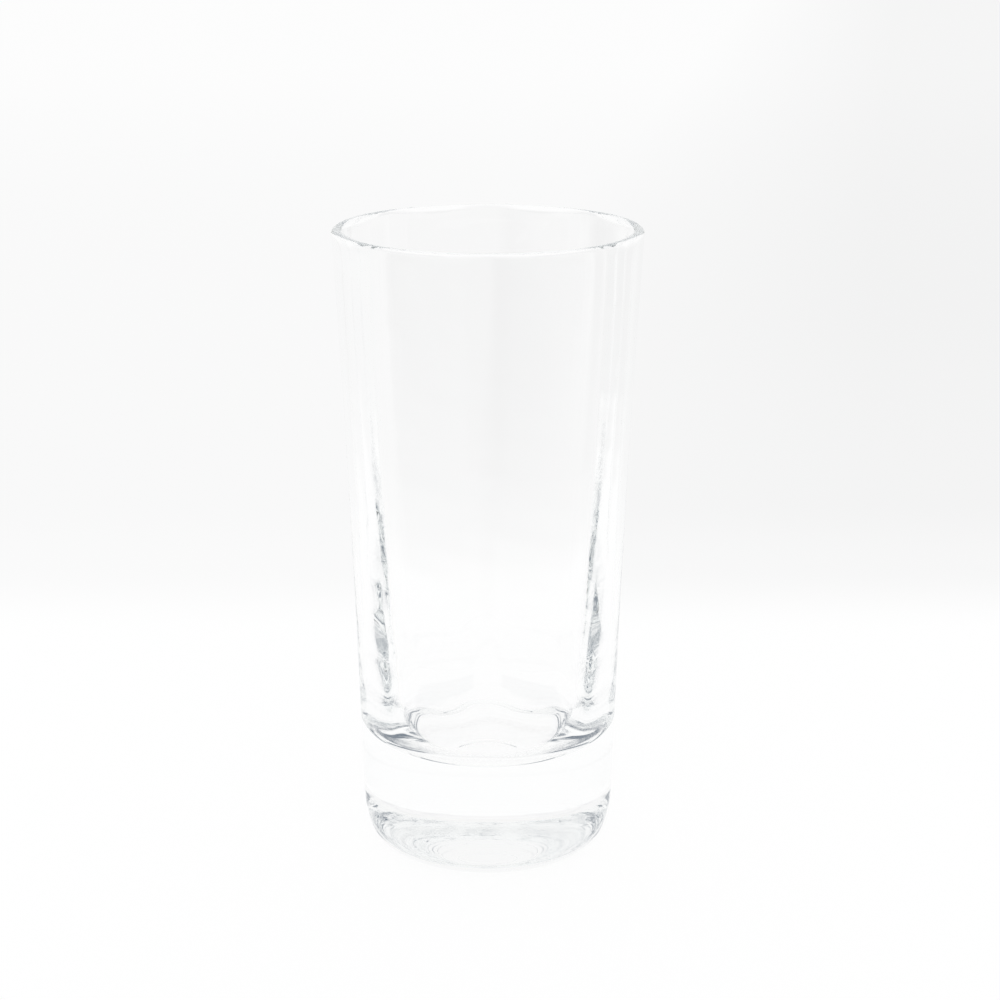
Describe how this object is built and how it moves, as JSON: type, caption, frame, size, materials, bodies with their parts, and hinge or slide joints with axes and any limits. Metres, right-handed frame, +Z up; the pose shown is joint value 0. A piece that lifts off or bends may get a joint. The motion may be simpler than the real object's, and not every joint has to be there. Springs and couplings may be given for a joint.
{
  "type": "mixing glass",
  "caption": "Tall clear mixing glass: round outside with a slight taper, eight broad upright panels pressed inside the wall, and a thick solid base.",
  "frame": {"origin": "centre of the circle that the glass stands on", "axes": "+Z up along the glass's axis, from the base to the rim; +Y and +X level, with a ridge between two inner panels on each of the four level half axes"},
  "size_m": [0.072, 0.072, 0.15],
  "materials": {
    "clear_glass": "fire-polished, very clear, with a faint cool tint where it is thick"
  },
  "bodies": {
    "root": {"glass_body": "clear_glass"}
  },
  "joints": []
}
